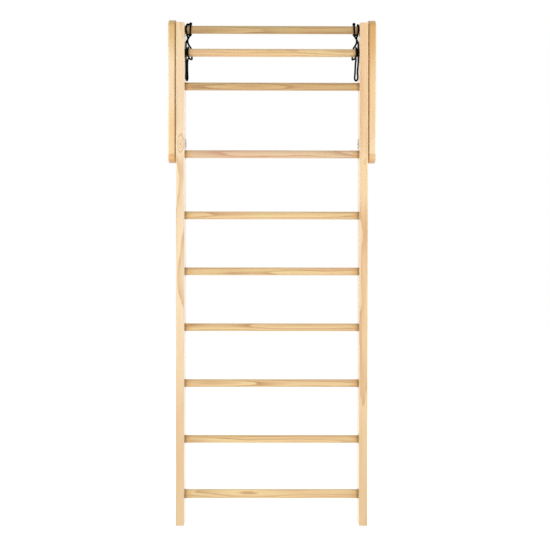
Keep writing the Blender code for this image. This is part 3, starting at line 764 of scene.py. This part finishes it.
def bevelled(piece, width, segments):
    bevel = piece.modifiers.new("edge", "BEVEL")
    bevel.width = width
    bevel.segments = segments
    bevel.limit_method = "ANGLE"
    bevel.angle_limit = radians(50)
    bevel.profile = 0.5
    return baked(piece)


def carved(piece, cutters):
    """Cut the cutter meshes out of the piece."""
    for cutter in cutters:
        tool = link("cutter", cutter)
        cut = piece.modifiers.new("cut", "BOOLEAN")
        cut.operation = "DIFFERENCE"
        cut.solver = "EXACT"
        cut.object = tool
        baked(piece)
        bpy.data.objects.remove(tool)
    return piece


def flat_faces_stay_flat(piece):
    weighted = piece.modifiers.new("normals", "WEIGHTED_NORMAL")
    weighted.keep_sharp = True
    weighted.weight = 80
    return piece


def settle(piece, node, body, material):
    piece.data.materials.clear()
    piece.data.materials.append(material)
    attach(piece, body)
    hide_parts(node)
    return piece


# ---------------------------------------------------------------- wooden pieces


def make_stile(label, material):
    """The stile keeps its CAD shape, with its seats, screw holes and hanger rebate, and gets soft shading."""
    node = f"stile_{label}"
    piece = link(f"post_{label}", shaded(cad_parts[node].data.copy()))
    flat_faces_stay_flat(piece)
    settle(piece, node, "frame", material)


def make_rung(number):
    """A turned rung: sanding leaves its thickness very slightly uneven."""
    node = f"rung_{number}"
    low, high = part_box(node)
    half = (high.x - low.x) / 2
    radius = (high.z - low.z) / 2
    profile = [(-half, 0), (-half, radius - RUNG_EDGE), (-half + RUNG_EDGE, radius)]
    steps = 34
    for step in range(1, steps):
        along = -half + 2 * half * step / steps
        wave = sin(number * 2.1 + 9.0 * along) + 0.6 * sin(number + 23.0 * along)
        profile.append((along, radius - RUNG_SANDED_OFF + RUNG_WAVE * wave))
    profile += [(half - RUNG_EDGE, radius), (half, radius - RUNG_EDGE), (half, 0)]
    mesh = shaded(turned_mesh("dowel", profile, 72), 35)
    piece = link(f"dowel_{number}", mesh, (0, 0, (low.z + high.z) / 2))
    pith = (0.020 + 0.012 * cos(2.4 * number), 0.010 * sin(2.4 * number))
    tones = ODD_RUNG_TONES.get(number, RUNG_TONES)
    seed = 31.0 + 7.7 * number
    spacing = RUNG_RING_SPACING
    material = wood(f"pine_dowel_{number}", "X", pith, seed, tones, spacing, contrast=1.0, bands_and_painted_shade=RUNG_PAINTED_END_SHADE)
    settle(piece, node, "frame", material)


def make_rail():
    low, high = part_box("bottom_rail")
    middle = (low + high) / 2
    piece = link("foot_rail", box_mesh("rail", low - middle, high - middle), middle)
    bevelled(piece, RAIL_EDGE, 5)
    shaded(piece.data)
    flat_faces_stay_flat(piece)
    pith = (0.030, 0.012)
    material = wood("pine_rail", "X", pith, 121.0, RUNG_TONES, RUNG_RING_SPACING, bands_and_painted_shade=RUNG_PAINTED_END_SHADE)
    settle(piece, "bottom_rail", "frame", material)


def arm_outline():
    steps = 44
    lower = [pi + pi * step / steps for step in range(steps + 1)]
    upper = [pi * step / steps for step in range(steps + 1)]
    outline = [(ARM_HALF_DEPTH * cos(t), ARM_HALF_DEPTH * sin(t)) for t in lower]
    outline += [(ARM_HALF_DEPTH * cos(t), ARM_REACH + ARM_HALF_DEPTH * sin(t)) for t in upper]
    return outline


def groove_outline():
    """The stop groove: a quarter turn from straight below the pivot round to the front."""
    steps = 30
    outer, inner = STOP_SWING_RADIUS + GROOVE_HALF, STOP_SWING_RADIUS - GROOVE_HALF
    outline = []
    for step in range(steps + 1):
        turn = -pi / 2 - pi / 2 * step / steps
        outline.append((outer * cos(turn), outer * sin(turn)))
    for step in range(1, 12):
        turn = pi - pi * step / 12
        outline.append((-STOP_SWING_RADIUS + GROOVE_HALF * cos(turn), GROOVE_HALF * sin(turn)))
    for step in range(steps + 1):
        turn = -pi + pi / 2 * step / steps
        outline.append((inner * cos(turn), inner * sin(turn)))
    for step in range(1, 12):
        turn = pi / 2 - pi * step / 12
        outline.append((GROOVE_HALF * cos(turn), -STOP_SWING_RADIUS + GROOVE_HALF * sin(turn)))
    return outline


def make_arm(label, side, material):
    outs = sorted((0, side * ARM_THICKNESS))
    place = (side * ARM_INNER, 0, RUNG_4_HEIGHT)
    piece = link(f"side_arm_{label}", prism_mesh("arm", arm_outline(), *outs), place)
    bevelled(piece, ARM_EDGE, 7)
    way = BUSH_RADIUS + GAP
    bush_way = turned_mesh("bush_way", [(-0.01, 0), (-0.01, way), (CUT_PAST, way), (CUT_PAST, 0)], 48)
    floor = COUNTERBORE_FLOOR - ARM_INNER
    eased = COUNTERBORE_RADIUS + 0.0011
    profile = [(floor, 0), (floor, COUNTERBORE_RADIUS), (ARM_THICKNESS - 0.001, COUNTERBORE_RADIUS)]
    profile += [(ARM_THICKNESS, eased), (CUT_PAST, eased), (CUT_PAST, 0)]
    counterbore = turned_mesh("counterbore", profile, 72)
    for cutter in (bush_way, counterbore):
        mirror_mesh(cutter, side)
    groove = prism_mesh("groove", groove_outline(), *sorted((-0.01 * side, side * GROOVE_DEPTH)))
    for cutter in (bush_way, counterbore, groove):
        cutter.transform(Matrix.Translation(piece.location))
    carved(piece, (bush_way, counterbore, groove))
    shaded(piece.data)
    flat_faces_stay_flat(piece)
    settle(piece, f"arm_{label}", f"arm_{label}", material)


# ---------------------------------------------------------------- hardware


def hardware(name, node, mesh, place, body, material):
    piece = link(name, shaded(mesh), place)
    return settle(piece, node, body, material)


def hex_socket(along_low, along_high, half_width):
    """A six-sided cutter along X; half_width is from its middle to a flat."""
    corner = half_width / cos(pi / 6)
    profile = [(along_low, 0), (along_low, corner), (along_high, corner), (along_high, 0)]
    return turned_mesh("socket", profile, 6)


def with_socket(mesh, cutters):
    piece = carved(link("blank", mesh), cutters)
    mesh = piece.data
    bpy.data.objects.remove(piece)
    return mesh


def connecting_screw(side):
    """Furniture screw: domed rim, hexagonal socket, thread along the shank."""
    top = OUTER - SCREW_SUNK
    floor = top - SCREW_HEAD_LENGTH
    tip = top - SCREW_LENGTH
    profile = [(tip, 0), (tip + 0.004, 0.0024)]
    along = tip + 0.004
    while along < floor - 0.012:
        profile += [(along + 0.0006, 0.0032), (along + 0.0011, 0.0032), (along + 0.0024, 0.0025)]
        along += 0.0030
    profile += [(along + 0.001, 0.0031), (floor, 0.0031), (floor, 0.0044), (floor + 0.0006, 0.0050)]
    profile += [(top - 0.0012, 0.0050), (top - 0.0005, 0.0048), (top - 0.0001, 0.0043), (top, 0.0037), (top, 0)]
    socket = hex_socket(top - 0.0028, top + 0.01, 0.0020)
    mesh = with_socket(turned_mesh("screw", profile, 40), [socket])
    return mirror_mesh(mesh, side)


def make_screws(label, side):
    mesh = connecting_screw(side)
    for use in [f"rung_{number}" for number in range(1, 10) if number != 4] + ["rail"]:
        node = f"screw_{use}_{label}"
        low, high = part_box(node)
        hardware(f"bolt_{use}_{label}", node, mesh, (0, 0, (low.z + high.z) / 2), "frame", zinc)


def ring_profile(start, end, outer, inner, edge=0.0003):
    return [
        (start, inner + edge),
        (start, outer - edge),
        (start + edge, outer),
        (end - edge, outer),
        (end, outer - edge),
        (end, inner + edge),
        (end - edge, inner),
        (start + edge, inner),
    ]


def bolt_mesh(side):
    """Socket-head pivot bolt, threaded as far as the insert reaches."""
    under_head = COUNTERBORE_FLOOR + 2 * GAP + WASHER_THICKNESS
    top = under_head + BOLT_HEAD_LENGTH
    profile = [(BOLT_TIP, 0), (BOLT_TIP, 0.0040), (BOLT_TIP + 0.001, 0.0047)]
    along = BOLT_TIP + 0.001
    while along < 0.428:
        profile += [(along + 0.0004, BOLT_RADIUS), (along + 0.0007, BOLT_RADIUS), (along + 0.0011, 0.0043)]
        along += 0.0015
    profile += [(along + 0.0006, BOLT_RADIUS), (under_head, BOLT_RADIUS)]
    profile += [(under_head, BOLT_HEAD_RADIUS), (top - 0.0010, BOLT_HEAD_RADIUS)]
    profile += [(top - 0.0005, 0.0083), (top - 0.0001, 0.0079), (top, 0.0074), (top, 0)]
    mesh = with_socket(turned_mesh("bolt", profile, 64), [hex_socket(top - 0.004, top + 0.01, 0.0040)])
    return mirror_mesh(mesh, side)


def insert_profile(end):
    """Threaded insert: a coarse wood thread outside, a plain bore inside."""
    start = end - INSERT_LENGTH
    profile = [(start, BOLT_BORE), (start, 0.0066), (start + 0.0015, 0.0070)]
    along = start + 0.0015
    while along < end - 0.006:
        profile += [(along + 0.0012, 0.0080), (along + 0.0018, 0.0080), (along + 0.0030, 0.0070)]
        along += 0.0038
    return profile + [(end - 0.002, 0.0070), (end - 0.002, 0.0080), (end, 0.0080), (end, BOLT_BORE)]


def make_pivot(label, side):
    axis = (0, 0, RUNG_4_HEIGHT)
    insert_end = SEAT_FLOOR - GAP - 0.0005
    inner_face, outer_face = OUTER + GAP, COUNTERBORE_FLOOR + GAP
    spacer = ring_profile(inner_face, inner_face + SPACER_THICKNESS, WASHER_RADIUS, BOLT_BORE, 0.0002)
    washer = ring_profile(outer_face, outer_face + WASHER_THICKNESS, WASHER_RADIUS, BOLT_BORE)
    turned = {
        "rung_insert": (insert_profile(insert_end), "brass", brass),
        "spacer_washer": (spacer, "nylon", nylon),
        "head_washer": (washer, "black_steel", black_oxide),
    }
    for kind, (profile, slot, material) in turned.items():
        mesh = turned_mesh(kind, mirrored(profile, side), 64)
        hardware(f"{kind}_turned_{label}", f"{kind}_{label}", mesh, axis, "frame", material)
    hardware(f"bolt_pivot_{label}", f"pivot_bolt_{label}", bolt_mesh(side), axis, "frame", black_oxide)
    start, end = OUTER - STOP_EMBEDDED, OUTER + STOP_PROUD
    pin = [(start, 0), (start, 0.0033), (start + 0.0007, STOP_RADIUS)]
    pin += [(end - 0.0007, STOP_RADIUS), (end, 0.0033), (end, 0)]
    place = (0, 0, RUNG_4_HEIGHT - STOP_SWING_RADIUS)
    mesh = turned_mesh("pin", mirrored(pin, side), 40)
    hardware(f"dowel_pin_{label}", f"stop_pin_{label}", mesh, place, "frame", zinc)
    bush = ring_profile(ARM_INNER + 0.0002, COUNTERBORE_FLOOR - 0.0002, BUSH_RADIUS, BOLT_BORE, 0.0005)
    mesh = turned_mesh("bush", mirrored(bush, side), 64)
    hardware(f"bush_turned_{label}", f"arm_bush_{label}", mesh, axis, f"arm_{label}", brass)


def hanger_screw(side):
    """Pan-head wood screw with a cross recess."""
    face = INNER - GAP - HANGER_THICKNESS - GAP
    top = face - HANGER_SCREW_HEAD
    profile = [(top, 0), (top, 0.0018), (top + 0.0003, 0.0027), (top + 0.0009, 0.0036), (top + 0.0015, 0.0040)]
    profile += [(face, 0.0040), (face, 0.0019)]
    along = face + 0.003
    while along < face + 0.0140:
        profile += [(along, 0.0014), (along + 0.0006, 0.0020), (along + 0.0009, 0.0020)]
        along += 0.0016
    profile += [(face + 0.0150, 0.0014), (face + 0.0176, 0)]
    slots = []
    for y, z in ((0.0018, 0.0004), (0.0004, 0.0018)):
        slots.append(box_mesh("slot", (top - 0.002, -y, -z), (top + 0.0011, y, z)))
    mesh = with_socket(turned_mesh("hanger_screw", profile, 40), slots)
    return mirror_mesh(mesh, side)


def make_hanger(label, side):
    node = f"wall_hanger_{label}"
    plate = link(f"hook_plate_{label}", shaded(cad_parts[node].data.copy()))
    settle(plate, node, "frame", zinc)
    mesh = hanger_screw(side)
    for where in ("front", "rear"):
        node = f"hanger_screw_{where}_{label}"
        low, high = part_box(node)
        place = (0, (low.y + high.y) / 2, (low.z + high.z) / 2)
        hardware(f"wood_screw_{where}_{label}", node, mesh, place, "frame", zinc)


# ---------------------------------------------------------------- stage and light

# The floor glows and the background is white where it is seen, but lights the wood less than it shows.
FLOOR_GLOW = 0.80
WORLD_LIGHT = 0.55
LAMP_COLOUR = (1.0, 0.985, 0.925)
LAMPS = (
    ("key", (-3.1, -3.5, 2.8), (0, 0, 1.25), 49, (2.2, 2.0)),
    ("fill", (3.1, -3.5, 2.8), (0, 0, 1.25), 49, (2.2, 2.0)),
    ("left side", (-3.4, -0.4, 1.3), (0.4, 0, 1.2), 46, (1.6, 2.4)),
    ("right side", (3.4, -0.4, 1.3), (-0.4, 0, 1.2), 46, (1.6, 2.4)),
)


def make_stage():
    floor = link("floor", box_mesh("floor", (-9, -9, -0.02), (9, 14, 0)))
    graph = Graph("floor")
    place = graph.node("TexCoord").outputs["Object"]
    tone = graph.fit(graph.noise(place, (0.7, 0.7, 0.7), 1.0), 0.3, 0.7)
    graph.shader.inputs["Emission Color"].default_value = (1, 1, 1, 1)
    graph.shader.inputs["Emission Strength"].default_value = FLOOR_GLOW
    grey = graph.mix(tone, (0.38, 0.38, 0.38, 1), (0.40, 0.40, 0.40, 1))
    floor.data.materials.append(graph.finish(grey, 0.8))
    world = bpy.data.worlds.new("world")
    bpy.context.scene.world = world
    world.use_nodes = True
    tree = world.node_tree
    background = tree.nodes["Background"]
    background.inputs["Color"].default_value = (1, 1, 1, 1)
    seen = tree.nodes.new("ShaderNodeLightPath")
    strength = tree.nodes.new("ShaderNodeMapRange")
    strength.inputs["To Min"].default_value = 1.0
    strength.inputs["To Max"].default_value = WORLD_LIGHT
    tree.links.new(seen.outputs["Is Diffuse Ray"], strength.inputs["Value"])
    tree.links.new(strength.outputs["Result"], background.inputs["Strength"])


def make_light(name, place, aim, power, size):
    data = bpy.data.lights.new(name, "AREA")
    data.color = LAMP_COLOUR
    data.shape = "RECTANGLE"
    data.size, data.size_y = size
    data.energy = power
    lamp = bpy.data.objects.new(name, data)
    bpy.context.scene.collection.objects.link(lamp)
    lamp.location = place
    lamp.rotation_mode = "QUATERNION"
    lamp.rotation_quaternion = (Vector(aim) - Vector(place)).to_track_quat("-Z", "Y")


def build():
    for label, side in SIDES.items():
        make_sling(label, side)
    for label, side in SIDES.items():
        pith, seed, tones, knots = STILE_BOARDS[label]
        board = wood(f"pine_post_{label}", "Z", pith, seed, tones, knots=knots, bands_and_painted_shade=STILE_PAINTED_SHADE)
        make_stile(label, board)
        pith = (0.014 * side, 0.060)
        board = wood(f"pine_side_arm_{label}", "Z", pith, seed + 90.0, ARM_TONES, bands_and_painted_shade=ARM_BANDS_AND_PAINTED_SHADE[label])
        make_arm(label, side, board)
        make_screws(label, side)
        make_pivot(label, side)
        make_hanger(label, side)
    for number in range(1, 10):
        make_rung(number)
    make_rail()
    make_stage()
    for lamp in LAMPS:
        make_light(*lamp)


build()
